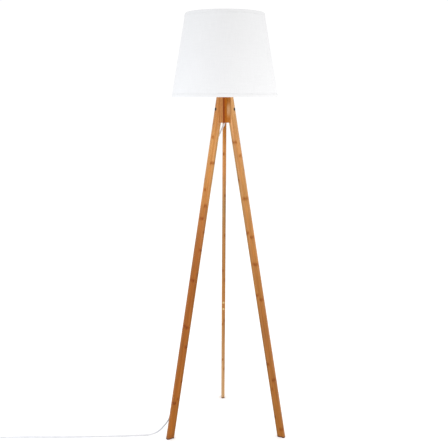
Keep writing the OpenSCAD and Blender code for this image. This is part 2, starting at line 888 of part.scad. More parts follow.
// The neutral core runs on past the block
module switch_neutral_core() {
    line = [
        for (p = [
            [core_end, 1.2], [core_end - 2, 1.3], [26, 4], [20, 9], [13, 11.5], [0, 12],
            [-13, 11.5], [-20, 9], [-26, 4], [2 - core_end, 1.3], [-core_end, 1.2]
        ])
            [switch_pos.x + p.x, switch_pos.y + p.y, cord_entry_z]
    ];
    color("steelblue") tube_along(line, [for (p = line) 1], [0, 0, 1]);
}

// Tapered sleeves where the lead enters and leaves the switch
module switch_reliefs() {
    enter = [[-828, -92, 6], [-823, -92, 6], [-815, -92, 6], [-808, -92, 5.2], [-802, -92, 4.3]];
    leave = [[-902, -92, 6], [-907, -92, 6], [-915, -92, 6], [-922, -91.7, 5.3], [-928, -91, 4.5]];
    color(white_plastic) for (line = [enter, leave])
        tube_along(line, [entry_r, entry_r, 3.1, 3, 2.9], [0, 0, 1], 12);
}

// ---- coil and plug ----

module tail_cord() {
    color(white_plastic) cord_tube(tail_route, 1, [0, 0, 1]);
}

module end_cord() {
    color(white_plastic) cord_tube(end_route, 1, [0, 0, 1]);
}

// Outer shape of the coil
module cord_coil() {
    color(white_plastic) translate([coil_pos.x, coil_pos.y, coil_z]) rotate_extrude()
        translate([coil_in_r, cord_r]) {
            translate([0, -cord_r]) square([coil_step, 4 * cord_r]);
            translate([-cord_r, 0]) square([coil_step + 2 * cord_r, 2 * cord_r]);
            for (x = [0, coil_step])
                for (z = [0, 2 * cord_r])
                    translate([x, z]) circle(r = cord_r, $fn = 32);
        }
}

// Strap round the turns
module coil_tie() {
    gap = 0.3;
    inner_w = coil_step + 2 * cord_r + 2 * gap;
    inner_h = 4 * cord_r + 0.1;
    color([0.25, 0.25, 0.26])
        translate([coil_pos.x + coil_in_r - cord_r - gap - tie_t, coil_pos.y - tie_w / 2, 0])
            difference() {
                cube([inner_w + 2 * tie_t, tie_w, inner_h + 2 * tie_t]);
                translate([tie_t, -1, tie_t]) cube([inner_w, tie_w + 2, inner_h]);
            }
}

module at_plug() {
    translate([plug_pos.x, plug_pos.y, plug_h / 2]) children();
}

module plug_outline(inset, back) {
    for (y = [back + 3, plug_len - 3 - inset])
        let (w = (y < plug_len / 2 ? plug_back_w : plug_face_w) / 2 - 3 - inset)
            for (x = [-w, w])
                translate([x, y]) circle(r = 3, $fn = 32);
}

module plug_body() {
    color(white_plastic) at_plug() difference() {
        hull() {
            translate([0, 0, -plug_h / 2 + 1.5]) linear_extrude(plug_h - 3) plug_outline(0, 0);
            translate([0, 0, -plug_h / 2]) linear_extrude(plug_h) plug_outline(1.5, 1.5);
        }
        translate([0, -1, 0]) rotate([-90, 0, 0]) cylinder(r = cord_r + close_gap, h = 14, $fn = 32);
        for (x = [-pin_gap / 2, pin_gap / 2])
            translate([x, plug_len - 12, 0]) rotate([-90, 0, 0])
                cylinder(r = pin_core_r + close_gap, h = 20, $fn = 32);
    }
}

// Round pins: a thin core under the sleeve and a full-width domed tip
module plug_pins() {
    color(brass) at_plug() for (x = [-pin_gap / 2, pin_gap / 2])
        translate([x, plug_len, 0]) rotate([-90, 0, 0]) {
            translate([0, 0, -11]) cylinder(r = pin_core_r, h = 11 + sleeve_len, $fn = 32);
            translate([0, 0, sleeve_len]) cylinder(r = pin_r, h = pin_len - sleeve_len - 1, $fn = 48);
            translate([0, 0, pin_len - 1]) cylinder(r1 = pin_r, r2 = pin_r - 0.9, h = 1, $fn = 48);
        }
}

module pin_sleeves() {
    color([0.2, 0.2, 0.2]) at_plug() for (x = [-pin_gap / 2, pin_gap / 2])
        translate([x, plug_len, 0]) rotate([-90, 0, 0])
            pipe(pin_r, pin_core_r + close_gap, sleeve_len, $fn = 48);
}

// Tapered sleeve with grooves, between the plug and the lead
module plug_relief() {
    color(white_plastic) at_plug() translate([0, -24, 0]) rotate([-90, 0, 0]) difference() {
        cylinder(r1 = 3.4, r2 = 5, h = 24, $fn = 48);
        translate([0, 0, -1]) cylinder(r = cord_r + close_gap, h = 26, $fn = 32);
        for (z = [4 : 4 : 16])
            translate([0, 0, z]) pipe(8, 3.2, 1.6, $fn = 48);
    }
}

shade_fabric();
shade_liner();
top_hem_tape();
bottom_hem_tape();
top_ring_wire();
bottom_ring_wire();
spider_arms();
spider_ring();
shade_ring_nut();
holder_cap();
holder_body();
holder_insert();
holder_thread_shell();
holder_centre_contact();
holder_terminals();
terminal_screws();
live_core();
neutral_core();
threaded_tube();
tube_nuts();
tube_washers();
hub_block();
hub_inserts();
leg_bolts();
upper_leg(ANGLE_REAR);  // upper_leg_rear
upper_leg(ANGLE_LEFT);  // upper_leg_left
upper_leg(ANGLE_RIGHT);  // upper_leg_right
lower_leg(ANGLE_REAR);  // lower_leg_rear
lower_leg(ANGLE_LEFT);  // lower_leg_left
lower_leg(ANGLE_RIGHT);  // lower_leg_right
splice_screws();
foot_pads();
cord_clips();
clip_nails();
cord_relief();
lead_cord();
switch_base();
switch_cover();
switch_button();
switch_spring();
switch_block();
switch_screws();
switch_clamps();
switch_live_core();
switch_neutral_core();
switch_reliefs();
tail_cord();
cord_coil();
end_cord();
coil_tie();
plug_relief();
plug_body();
plug_pins();
pin_sleeves();
bulb_globe();
bulb_housing();
bulb_cap();
bulb_insulator();
bulb_contact();
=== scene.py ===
"""Looks of the tripod floor lamp.

It makes the camera, the studio, the materials, the shade's cloth, the flex, the screw threads, the welds
and the foot switch's spring. All other pieces are the CAD's own.

Lengths are metres in the CAD frame: the floor is z = 0 and the front is -Y.
"""

import math

import bpy
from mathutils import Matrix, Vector


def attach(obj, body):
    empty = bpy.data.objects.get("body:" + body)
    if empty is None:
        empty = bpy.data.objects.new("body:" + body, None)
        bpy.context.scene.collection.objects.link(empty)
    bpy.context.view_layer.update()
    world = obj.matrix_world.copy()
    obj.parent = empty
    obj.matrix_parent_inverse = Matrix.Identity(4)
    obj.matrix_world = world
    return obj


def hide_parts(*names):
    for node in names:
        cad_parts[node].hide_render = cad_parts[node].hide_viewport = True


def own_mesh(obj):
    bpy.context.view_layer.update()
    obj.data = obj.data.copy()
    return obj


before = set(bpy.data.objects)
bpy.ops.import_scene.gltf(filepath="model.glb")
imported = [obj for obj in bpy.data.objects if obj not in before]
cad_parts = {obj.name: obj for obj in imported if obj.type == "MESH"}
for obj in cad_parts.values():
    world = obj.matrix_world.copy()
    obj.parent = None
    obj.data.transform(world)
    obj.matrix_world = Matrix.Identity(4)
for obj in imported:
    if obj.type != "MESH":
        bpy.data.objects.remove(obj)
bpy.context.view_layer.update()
MM = 0.001
TURN = 2 * math.pi


# ---- nodes ----


class Graph:
    """A material on one Principled shader, with short calls for the nodes that feed it."""

    def __init__(self, name, **constants):
        self.material = bpy.data.materials.new(name)
        self.material.use_nodes = True
        self.tree = self.material.node_tree
        self.shader = self.tree.nodes["Principled BSDF"]
        for key, value in constants.items():
            self.shader.inputs[key.replace("_", " ")].default_value = value
        self.position = self.add("ShaderNodeTexCoord").outputs["Object"]

    def add(self, kind, inputs=(), **settings):
        node = self.tree.nodes.new(kind)
        for key, value in settings.items():
            setattr(node, key, value)
        for key, value in dict(inputs).items():
            self.put(node.inputs[key], value)
        return node

    def put(self, socket, value):
        if isinstance(value, bpy.types.NodeSocket):
            self.tree.links.new(value, socket)
        else:
            socket.default_value = value

    def math(self, operation, *values):
        return self.add("ShaderNodeMath", enumerate(values), operation=operation).outputs[0]

    def plus(self, a, b):
        return self.math("ADD", a, b)

    def times(self, a, b):
        return self.math("MULTIPLY", a, b)

    def place(self, vector, location=(0, 0, 0), rotation=(0, 0, 0), scale=(1, 1, 1), kind="POINT"):
        inputs = {"Vector": vector, "Location": location, "Rotation": rotation, "Scale": scale}
        return self.add("ShaderNodeMapping", inputs, vector_type=kind).outputs[0]

    def split(self, vector):
        return self.add("ShaderNodeSeparateXYZ", {0: vector}).outputs

    def join(self, x, y, z):
        return self.add("ShaderNodeCombineXYZ", {0: x, 1: y, 2: z}).outputs[0]

    def noise(self, vector, scale, detail=2.0, rough=0.5):
        inputs = {"Vector": vector, "Scale": scale, "Detail": detail, "Roughness": rough}
        return self.add("ShaderNodeTexNoise", inputs).outputs["Fac"]

    def rescale(self, value, low, high, new_low, new_high, smooth=False):
        inputs = {"Value": value, "From Min": low, "From Max": high, "To Min": new_low, "To Max": new_high}
        kind = "SMOOTHSTEP" if smooth else "LINEAR"
        return self.add("ShaderNodeMapRange", inputs, interpolation_type=kind).outputs[0]

    def mix(self, factor, a, b, blend="MIX"):
        inputs = {0: factor, 6: a, 7: b}
        return self.add("ShaderNodeMix", inputs, data_type="RGBA", blend_type=blend).outputs[2]

    def shade(self, colour, value):
        """The colour with its brightness multiplied by value."""
        return self.mix(1.0, colour, self.join(value, value, value), "MULTIPLY")

    def ramp(self, value, stops, kind="LINEAR"):
        node = self.add("ShaderNodeValToRGB", {0: value})
        ramp = node.color_ramp
        ramp.interpolation = kind
        while len(ramp.elements) < len(stops):
            ramp.elements.new(0.5)
        for element, (place, colour) in zip(ramp.elements, stops):
            element.position = place
            element.color = (*colour, 1)
        return node.outputs[0]

    def bump(self, height, distance):
        return self.add("ShaderNodeBump", {"Height": height, "Distance": distance}).outputs[0]

    def finish(self, colour, roughness, normal):
        self.put(self.shader.inputs["Base Color"], colour)
        self.put(self.shader.inputs["Roughness"], roughness)
        self.put(self.shader.inputs["Normal"], normal)
        return self.material


def linear(red, green, blue):
    """A colour given in 0-255 display numbers, as linear light."""

    def one(value):
        value /= 255
        return value / 12.92 if value <= 0.04045 else ((value + 0.055) / 1.055) ** 2.4

    return (one(red), one(green), one(blue))


# ---- camera ----

CAMERA_PLACE = (-0.0798, -2.3930, 1.1784)
CAMERA_YAW = math.radians(1.8435)
CAMERA_DOWN = math.radians(10.31)
CAMERA_LENS = 56.10

camera_data = bpy.data.cameras.new("camera")
camera_data.sensor_width = 36
camera_data.lens = CAMERA_LENS
camera_data.clip_start = 0.05
camera_data.clip_end = 100
camera = bpy.data.objects.new("camera", camera_data)
camera.location = CAMERA_PLACE
camera.rotation_euler = (math.pi / 2 - CAMERA_DOWN, 0, -CAMERA_YAW)
bpy.context.collection.objects.link(camera)
bpy.context.scene.camera = camera


# ---- studio ----

WORLD_LIGHT = 1.035
# Name, place, target, size, power and colour
SOFTBOXES = [
    ("softbox_left", (-1.5, -0.5, 0.5), (0, 0, 0.9), (0.7, 1.0), 4.6, (0.74, 0.86, 1.0)),
    ("softbox_right", (1.5, -0.5, 0.5), (0, 0, 0.9), (0.7, 1.0), 4.8, (1.0, 1.0, 0.97)),
    ("softbox_front", (0.1, -2.6, 0.35), (0, 0, 0.8), (2.2, 0.5), 3, (1.0, 1.0, 1.0)),
]
FLOOR_SIZE = 14
# The floor's surface lies this far under z = 0, so that it doesn't flicker against the pads
FLOOR_DROP = 0.0002
FLOOR_TONE = 0.99
# A lit table: it lifts the feet's faint shadows to white
FLOOR_GLOW = 0.12

scene = bpy.context.scene
scene.view_settings.view_transform = "Standard"
world = bpy.data.worlds.new("studio")
world.use_nodes = True
world.node_tree.nodes["Background"].inputs["Color"].default_value = (1, 1, 1, 1)
world.node_tree.nodes["Background"].inputs["Strength"].default_value = WORLD_LIGHT
scene.world = world


def area_light(name, place, target, size, power, colour):
    data = bpy.data.lights.new(name, "AREA")
    data.shape = "RECTANGLE"
    data.size, data.size_y = size
    data.energy = power
    data.color = colour
    light = bpy.data.objects.new(name, data)
    light.location = place
    light.rotation_euler = (Vector(target) - Vector(place)).to_track_quat("-Z", "Y").to_euler()
    bpy.context.collection.objects.link(light)


for softbox in SOFTBOXES:
    area_light(*softbox)


# ---- meshes ----


def piece(name, points, faces, material, body="stand", smooth=True):
    """A mesh that rides on a body."""
    mesh = bpy.data.meshes.new(name)
    mesh.from_pydata([tuple(p) for p in points], [], faces)
    mesh.materials.append(material)
    for polygon in mesh.polygons:
        polygon.use_smooth = smooth
    made = bpy.data.objects.new(name, mesh)
    bpy.context.collection.objects.link(made)
    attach(made, body)
    return made


def grid_faces(rows, columns, wrap):
    """Quads of a grid of points, row after row. wrap joins the last column to the first."""
    faces = []
    for i in range(rows - 1):
        for j in range(columns if wrap else columns - 1):
            k = (j + 1) % columns
            faces.append((i * columns + j, i * columns + k, (i + 1) * columns + k, (i + 1) * columns + j))
    return faces


def thicken(made, thickness, offset=-1.0):
    solid = made.modifiers.new("thickness", "SOLIDIFY")
    solid.thickness = thickness
    solid.offset = offset


def ease(t):
    t = min(max(t, 0.0), 1.0)
    return t * t * (3 - 2 * t)


# ---- flex ----

CORD_D = 0.005
# The same routes as the CAD's, in millimetres, before they are rounded
LEAD_ROUTE = [
    (0, 0, 1097), (-2, 0.5, 1088), (-7, 1.5, 1078), (-13, 0.5, 1065), (-20, -3, 1050), (-29.5, -6.5, 1030),
    (-40, -12.5, 1000), (-49, -18, 970), (-56, -22, 940), (-93, -43.5, 700), (-130, -64.5, 460),
    (-167, -86, 220), (-182.5, -95, 120), (-190, -93, 92), (-201, -89.5, 60), (-217, -88, 36.5),
    (-232, -88, 20), (-247, -88.3, 10), (-264, -89.2, 4.6), (-287, -90.3, 2.5), (-317, -91.5, 2.5),
    (-373, -94, 2.5), (-457, -95, 2.5), (-569, -95, 2.5), (-640, -93, 2.5), (-709, -90.5, 2.5),
    (-780, -91.5, 2.5), (-800, -92, 4), (-815, -92, 6), (-833, -92, 6),
]
# The point before the first one, which sets the direction that the lead starts in
LEAD_BEFORE = (0, 0, 1106)
TAIL_ROUTE = [
    (-907, -92, 6), (-915, -92, 6), (-928, -91, 4.5), (-939, -87, 3), (-947, -79, 3), (-950.5, -67, 3),
    (-950.5, -53, 3), (-947.5, -35, 3.3), (-944.5, -15, 3.3), (-943.5, 5, 3.3),
]
END_ROUTE = [
    (-943.5, 5, 8.3), (-943.5, 15, 7.9), (-943.5, 26, 5.8), (-943.5, 36, 3.9), (-943.5, 44, 3.6),
    (-943.5, 53, 5.4), (-943.5, 62, 6.85), (-943.5, 74, 6.85), (-943.5, 86, 6.85), (-943.5, 94, 6.85),
]
COIL_CENTRE = (-915, 5)
COIL_OUT_R = 28.5
COIL_IN_R = 23.5
COIL_LOW = 3.3
COIL_HIGH = 8.3
COIL_TURNS = 3
# Degrees between two points of the coil
COIL_STEP = 10


def between(points, before=None, steps=5):
    """Points on a smooth curve through the given ones, never lower than a cord lies."""
    lowest = CORD_D / 2 / MM
    line = [Vector(p) for p in points]
    first = Vector(before) if before else line[0]
    ends = [first, *line, line[-1]]
    made = []
    for i in range(len(line) - 1):
        a, b, c, d = ends[i : i + 4]
        for k in range(steps):
            t = k / steps
            square = (2 * a - 5 * b + 4 * c - d) * t * t
            cube = (3 * b - a - 3 * c + d) * t**3
            p = 0.5 * (2 * b + (c - a) * t + square + cube)
            p.z = max(p.z, lowest)
            made.append(p)
    return [*made, line[-1]]


def coil_point(angle):
    """Three turns: low and outside, low and inside, then high, first inside and last outside."""
    turn = angle // 360
    part = angle - 360 * turn
    radius, height = COIL_IN_R, COIL_HIGH
    if turn == 0:
        radius = COIL_OUT_R + (COIL_IN_R - COIL_OUT_R) * ease((part - 262) / 76)
        height = COIL_LOW
    elif turn == 1:
        height = COIL_LOW + (COIL_HIGH - COIL_LOW) * ease((part - 190) / 62)
    elif turn == 2:
        radius = COIL_IN_R + (COIL_OUT_R - COIL_IN_R) * ease((part - 92) / 70)
    else:
        radius = COIL_OUT_R
    a = math.radians(angle)
    return Vector((COIL_CENTRE[0] - radius * math.cos(a), COIL_CENTRE[1] + radius * math.sin(a), height))


def cord_curve(name, line, material):
    data = bpy.data.curves.new(name, "CURVE")
    data.dimensions = "3D"
    data.bevel_depth = CORD_D / 2
    data.bevel_resolution = 5
    data.use_fill_caps = True
    spline = data.splines.new("POLY")
    spline.points.add(len(line) - 1)
    for point, place in zip(spline.points, line):
        point.co = (*(place * MM), 1)
    spline.use_smooth = True
    data.materials.append(material)
    made = bpy.data.objects.new(name, data)
    bpy.context.collection.objects.link(made)
    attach(made, "stand")
    return made


def moulded(
    name, tone, rough, spread=0.04, patch=25.0, grain=0.5, grain_bump=0.012, wear=0.06, **constants
):
    """Plastic, paint, rubber or cast metal: patches of tone, a fine grain in the relief and uneven gloss.

    patch and grain are sizes in millimetres, and grain_bump is the relief's height in millimetres.
    """
    g = Graph(name, **constants)
    broad = g.noise(g.position, 1 / (patch * MM), 3.0)
    fine = g.noise(g.position, 1 / (grain * MM), 2.0)
    level = g.rescale(broad, 0.3, 0.7, 1 - spread, 1 + spread * 0.4)
    level = g.times(level, g.rescale(fine, 0.2, 0.8, 1 - spread * 0.4, 1.0))
    gloss = g.rescale(g.noise(g.position, 3 / (patch * MM), 4.0, 0.6), 0.3, 0.7, rough - wear, rough + wear)
    return g.finish(g.shade((*tone, 1), level), gloss, g.bump(fine, grain_bump * MM))


def metal(name, tone, rough, axis_scale=(1, 1, 12), spread=0.12, tarnish=None, **constants):
    """Bare or plated metal with fine turning marks and, where tarnish is a colour, patches of it."""
    g = Graph(name, Metallic=1.0, **constants)
    marks = g.noise(g.place(g.position, scale=axis_scale), 900, 3.0)
    cloud = g.noise(g.position, 140, 4.0, 0.6)
    colour = g.shade((*tone, 1), g.rescale(cloud, 0.3, 0.7, 1 - spread, 1.0))
    if tarnish is not None:
        colour = g.mix(g.rescale(cloud, 0.48, 0.7, 0.0, 0.7), colour, (*tarnish, 1))
    gloss = g.rescale(g.plus(marks, cloud), 0.6, 1.4, rough - 0.08, rough + 0.12)
    return g.finish(colour, gloss, g.bump(marks, 0.01 * MM))


FLEX_CLEAN = linear(221, 221, 223)
FLEX_DUSTY = linear(210, 210, 213)
FLEX_IN_LEG_SHADOW = linear(150, 154, 162)
LEG_SHADOW_DEPTH = 0.65
# The stretch with painted shade from the left leg: it starts between these places along x, and fades out
# between these heights
LEG_SHADOW_X = (-0.264, -0.225)
LEG_SHADOW_Z = (0.10, 0.16)


def flex_material():
    """White PVC sheath: soft gloss, faint dust, a slight ripple, and painted shade, grey, beside the left
    foot where the leg shadows the lead.
    """
    g = Graph("flex_sheath", Coat_Weight=0.15, Coat_Roughness=0.35)
    dust = g.noise(g.position, 60, 4.0, 0.6)
    ripple = g.noise(g.position, 420, 2.0)
    tone = g.mix(g.rescale(dust, 0.35, 0.7, 0.0, 1.0), (*FLEX_CLEAN, 1), (*FLEX_DUSTY, 1))
    x, _, z = g.split(g.position)
    # Painted shade: the lead is greyed beside the left foot, where the leg shadows it, and fades out higher
    # up
    beside_foot = g.rescale(x, *LEG_SHADOW_X, 0.0, 1.0, smooth=True)
    leg_shadow = g.times(beside_foot, g.rescale(z, *LEG_SHADOW_Z, LEG_SHADOW_DEPTH, 0.0, smooth=True))
    tone = g.mix(leg_shadow, tone, (*FLEX_IN_LEG_SHADOW, 1))
    return g.finish(tone, g.rescale(dust, 0.3, 0.7, 0.34, 0.48), g.bump(ripple, 0.05 * MM))


FLEX = flex_material()
WHITE_PLASTIC = moulded("white_plastic", linear(237, 237, 238), 0.36, spread=0.03)
BLACK_PLASTIC = moulded("black_plastic", linear(38, 37, 36), 0.45, spread=0.15, patch=12)

lead = cord_curve("flex_lead", between(LEAD_ROUTE, before=LEAD_BEFORE), FLEX)
coil_line = [coil_point(angle) for angle in range(COIL_STEP, COIL_TURNS * 360, COIL_STEP)]
tail_line = [*between(TAIL_ROUTE), *coil_line, *between(END_ROUTE)]
tail = cord_curve("flex_tail", tail_line, FLEX)
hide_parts("lead_cord")
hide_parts("tail_cord", "cord_coil", "end_cord")


# ---- bamboo ----

# A leg's frame: along runs up the leg from the floor, x outwards from 0 at its outer narrow face, and y
# across its thickness
FOOT_R = 0.239
SPLAY = math.radians(10.08)
LEG_W = 0.0254
LEG_T = 0.0125
LEG_SPAN = 1.2
STRIPS = 4
STRIP_W = LEG_W / STRIPS
MARK_TONE = (0.67, 0.47, 0.25)
MARK_ARCH = 0.002
GLOSS_VEIL = 0.014
WOOD_GLOSS = 0.1
WOOD_COAT = 0.03
STUDIO_GAIN = 1.12
# How far the fibre pattern is drawn out along the wood, for fine lines, streaks and dashes
FINE_STRETCH = 0.02
STREAK_STRETCH = 0.05
DASH_STRETCH = 0.09
# The dark band of a node, from where it starts to fade in to where it has faded out, in millimetres
NODE_BAND = (-8, -2.5, 1.5, 7)
# Half the width of a glue line, between the strips and between the two layers
STRIP_GLUE = 0.00035
LAYER_GLUE = 0.00025


def under_light(colour):
    """The surface colour that shows as this display colour in the studio, less the gloss's share."""
    return tuple(max((c - GLOSS_VEIL) / STUDIO_GAIN, 0.004) for c in linear(*colour))


def internode_tone(seed):
    """A grey near 1, different for each stretch between two nodes and the same each run."""
    return (1 + 0.1 * math.sin(seed * 12.9898),) * 3


def strip_stops(marks, seed):
    """Stops of tone along one strip: an even grey between nodes and a warm dark band at each node."""
    stops = [(0.0, internode_tone(seed))]
    for number, place in enumerate(sorted(marks)):
        before = stops[-1][1]
        after = internode_tone(seed + number + 1)
        for offset, tone in zip(NODE_BAND, (before, MARK_TONE, MARK_TONE, after)):
            stops.append(((place + offset) * MM / LEG_SPAN, tone))
    return stops


def fibres(g, x, y, along, seed):
    """Bamboo fibre in the strip's own place: fine lines, broader streaks, and dark dashes."""
    across = g.plus(x, seed)
    stretched = g.join(across, y, g.times(along, FINE_STRETCH))
    fine = g.noise(stretched, 2600, 2.0)
    streak = g.noise(g.join(across, y, g.times(along, STREAK_STRETCH)), 250, 1.0)
    broad = g.plus(g.times(g.noise(stretched, 520, 3.0), 0.5), g.times(streak, 0.5))
    dash_place = g.join(across, y, g.times(along, DASH_STRETCH))
    dashes = g.rescale(g.noise(dash_place, 1500, 1.0), 0.62, 0.74, 0.0, 1.0)
    return fine, broad, dashes


def laminated(g, colour, edges, fine, broad, dashes):
    """Finishes a bamboo material from its strips' colour, its fibres and how near a glued joint is."""
    tone = g.times(g.rescale(fine, 0.3, 0.7, 0.92, 1.06), g.rescale(broad, 0.34, 0.66, 0.8, 1.18))
    tone = g.times(tone, g.rescale(dashes, 0, 1, 1.0, 0.82))
    tone = g.times(tone, edges)
    height = g.plus(g.times(fine, 0.5), g.times(broad, 0.5))
    height = g.math("SUBTRACT", height, g.times(dashes, 0.4))
    height = g.plus(height, edges)
    gloss = g.rescale(g.plus(fine, broad), 0.6, 1.4, 0.36, 0.56)
    return g.finish(g.shade(colour, tone), gloss, g.bump(height, 0.05 * MM))


def joint_dark(g, value, pitch, line):
    """1 away from the planes at multiples of pitch, less within line of them."""
    away = g.math("PINGPONG", g.plus(value, 40 * pitch), pitch / 2)
    return g.rescale(away, 0.0, line, 0.72, 1.0, smooth=True)


def leg_bamboo(name, angle, front, base, strips, tints, gain, seed):
    """Bamboo of one leg, glued from two layers of strips.

    angle is the leg's in degrees, and front the layer, 0 or 1, whose face the camera sees. base is its
    display colour by height, the wood's tone with painted shade in it, strips the heights of its nodes
    strip by strip, and tints each strip's own tone. gain brightens the display colours, and seed sets the
    tones between nodes.
    """
    g = Graph(name, Specular_IOR_Level=WOOD_GLOSS, Coat_Weight=WOOD_COAT, Coat_Roughness=0.25)
    turn = math.radians(angle)
    foot = (FOOT_R * math.cos(turn), FOOT_R * math.sin(turn), 0)
    local = g.place(g.position, foot, (0, -SPLAY, turn), kind="TEXTURE")
    x, y, along = g.split(local)
    inside = g.math("MINIMUM", g.math("MAXIMUM", x, STRIP_W / 2 - LEG_W), -STRIP_W / 2)
    column = g.math("FLOOR", g.math("DIVIDE", g.plus(inside, LEG_W), STRIP_W))
    layer = g.math("GREATER_THAN", y, 0.0)
    behind = g.math("ABSOLUTE", g.math("SUBTRACT", layer, front))
    which = g.math("MODULO", g.plus(column, g.times(behind, 2.0)), STRIPS)
    offset = g.times(g.plus(which, g.times(behind, 5.0)), 0.37)
    wave = g.times(g.math("SUBTRACT", g.noise(local, 220, 1.0), 0.5), 0.006)
    bow = g.math("POWER", g.math("DIVIDE", g.math("PINGPONG", g.plus(x, LEG_W), STRIP_W), STRIP_W), 2.0)
    wave = g.plus(wave, g.times(bow, MARK_ARCH))
    shifted = g.plus(g.plus(along, wave), g.times(behind, 0.43))
    place = g.math("FRACT", g.math("DIVIDE", shifted, LEG_SPAN))
    tone = g.ramp(place, strip_stops(strips[0], seed))
    for number in range(1, STRIPS):
        chosen = g.math("GREATER_THAN", which, number - 0.5)
        tone = g.mix(chosen, tone, g.ramp(place, strip_stops(strips[number], seed + 7 * number)))
    # The colours by height carry painted shade: darker towards the floor and under the shade and the hub
    stops = [(height * MM / LEG_SPAN, under_light([v * gain for v in shown])) for height, shown in base]
    colour = g.mix(1.0, g.ramp(g.math("DIVIDE", along, LEG_SPAN), stops), tone, "MULTIPLY")
    tint_stops = [(number / STRIPS, tint) for number, tint in enumerate(tints)]
    tint = g.ramp(g.math("DIVIDE", g.plus(which, 0.5), STRIPS), tint_stops, "CONSTANT")
    colour = g.mix(1.0, colour, tint, "MULTIPLY")
    fine, broad, dashes = fibres(g, x, y, along, offset)
    edges = g.times(joint_dark(g, inside, STRIP_W, STRIP_GLUE), joint_dark(g, y, LEG_T, LAYER_GLUE))
    return laminated(g, colour, edges, fine, broad, dashes)


# Where each upright ply of the hub starts from the left, in millimetres, and its display colour
HUB_PLIES = [
    (-40, (172, 112, 66)), (-20, (184, 120, 62)), (-17.5, (198, 134, 82)), (-7.4, (149, 75, 2)),
    (-3, (161, 84, 4)), (0, (178, 102, 22)), (5.5, (180, 110, 48)), (8.5, (184, 116, 56)),
    (17.5, (190, 128, 74)),
]
HUB_GLUE = 0.0003
# A painted highlight: a paler patch on the front that stands in for a soft reflection of the studio light
HIGHLIGHT_X = 0.0125
HIGHLIGHT_Z = 1.136
HIGHLIGHT_TONE = (207, 157, 111)


def hub_bamboo():
    """Bamboo of the hub: upright plies that stand side by side from left to right, with a painted highlight
    on the front.
    """
    g = Graph("bamboo_hub", Specular_IOR_Level=WOOD_GLOSS, Coat_Weight=WOOD_COAT, Coat_Roughness=0.25)
    x, y, z = g.split(g.position)
    spread = 0.08
    stops = [((place * MM + spread / 2) / spread, under_light(tone)) for place, tone in HUB_PLIES]
    colour = g.ramp(g.math("DIVIDE", g.plus(x, spread / 2), spread), stops, "CONSTANT")
    # Painted highlight: a paler patch on the front in place of a soft reflection
    away = g.math("ABSOLUTE", g.math("SUBTRACT", z, HIGHLIGHT_Z))
    near = g.rescale(away, 0.004, 0.03, 1.0, 0.0, smooth=True)
    sideways = g.math("ABSOLUTE", g.math("SUBTRACT", x, HIGHLIGHT_X))
    across = g.rescale(sideways, 0.0035, 0.008, 1.0, 0.0, smooth=True)
    patch = g.times(near, across)
    colour = g.mix(patch, colour, (*under_light(HIGHLIGHT_TONE), 1))
    number = g.math("FLOOR", g.math("DIVIDE", x, 0.0067))
    fine, broad, dashes = fibres(g, x, y, z, g.times(number, 0.31))
    return laminated(g, colour, joint_dark(g, y, 0.02, HUB_GLUE), fine, broad, dashes)


# Display colour of each leg by height, in millimetres. It holds the wood's own tone and painted shade
# together: the front legs darken towards the floor, and the left and rear legs darken again near their tops
# under the shade and the hub
BASE_LEFT = [
    (0, (155, 95, 50)), (30, (170, 105, 50)), (560, (165, 100, 50)), (700, (175, 110, 60)),
    (815, (190, 125, 70)), (840, (205, 140, 80)), (1060, (220, 160, 100)), (1150, (210, 145, 90)),
]
BASE_RIGHT = [
    (0, (170, 110, 55)), (390, (175, 115, 65)), (520, (180, 120, 65)), (730, (195, 135, 80)),
    (870, (200, 145, 90)), (1050, (215, 155, 100)), (1160, (225, 170, 115)),
]
BASE_REAR = [
    (0, (210, 170, 125)), (300, (190, 140, 90)), (420, (185, 130, 75)), (700, (180, 130, 80)),
    (800, (170, 130, 85)), (940, (205, 145, 90)), (1030, (205, 145, 85)), (1080, (195, 130, 65)),
]
# Heights of the nodes on each leg's four strips, in millimetres
MARKS_LEFT = [
    [210, 336, 592, 677, 740, 979],
    [149, 336, 404, 677, 830, 977],
    [134, 404, 570, 786, 830, 977],
    [134, 410, 572, 786, 884, 1063],
]
MARKS_RIGHT = [
    [79, 273, 516, 736, 919, 1049],
    [180, 270, 517, 627, 736, 854, 1047],
    [33, 212, 501, 625, 720, 854, 1047],
    [33, 215, 501, 625, 720, 854, 1000],
]
MARKS_REAR = [
    [140, 352, 520, 700, 852],
    [200, 430, 668, 900],
    [233, 330, 612, 768, 990],
    [160, 380, 588, 812],
]
LOWER_GAIN = 0.985
# Each strip's own tone
TINTS_FRONT = [(0.795, 0.87, 0.85), (1.065, 1.09, 1.2), (0.92, 0.86, 0.72), (1.04, 1.045, 1.01)]
TINTS_REAR = [(0.97, 0.92, 0.85), (0.9, 0.88, 0.84), (1.08, 1.08, 1.1), (1.0, 1.0, 1.0)]

# Name, angle, layer to the front, colours, nodes, strip tones and seed
LEGS = [
    ("left", 210, 1, BASE_LEFT, MARKS_LEFT, TINTS_FRONT, 1.0),
    ("right", 330, 0, BASE_RIGHT, MARKS_RIGHT, TINTS_FRONT, 31.0),
    ("rear", 90, 0, BASE_REAR, MARKS_REAR, TINTS_REAR, 67.0),
]


# ---- cloth ----

SHADE_Z = 1.178
SHADE_H = 0.272
SHADE_LOW_R = 0.180
SHADE_HIGH_R = 0.132
TAPE_T = 0.0005
CLOTH_T = 0.0006
THREAD = 0.00065
SEAM_ANGLE = math.radians(92)
OVERLAP = 0.012
# Rows up the cloth's mesh and columns round it
CLOTH_ROWS = 26
CLOTH_COLUMNS = 288
# Painted light and shade on the cloth: its brightness at the shade's bottom and top edges, lighter at the
# bottom and darker at the top as the light falls
CLOTH_LOW_PAINTED_LIGHT = 1.045
CLOTH_HIGH_PAINTED_LIGHT = 0.965
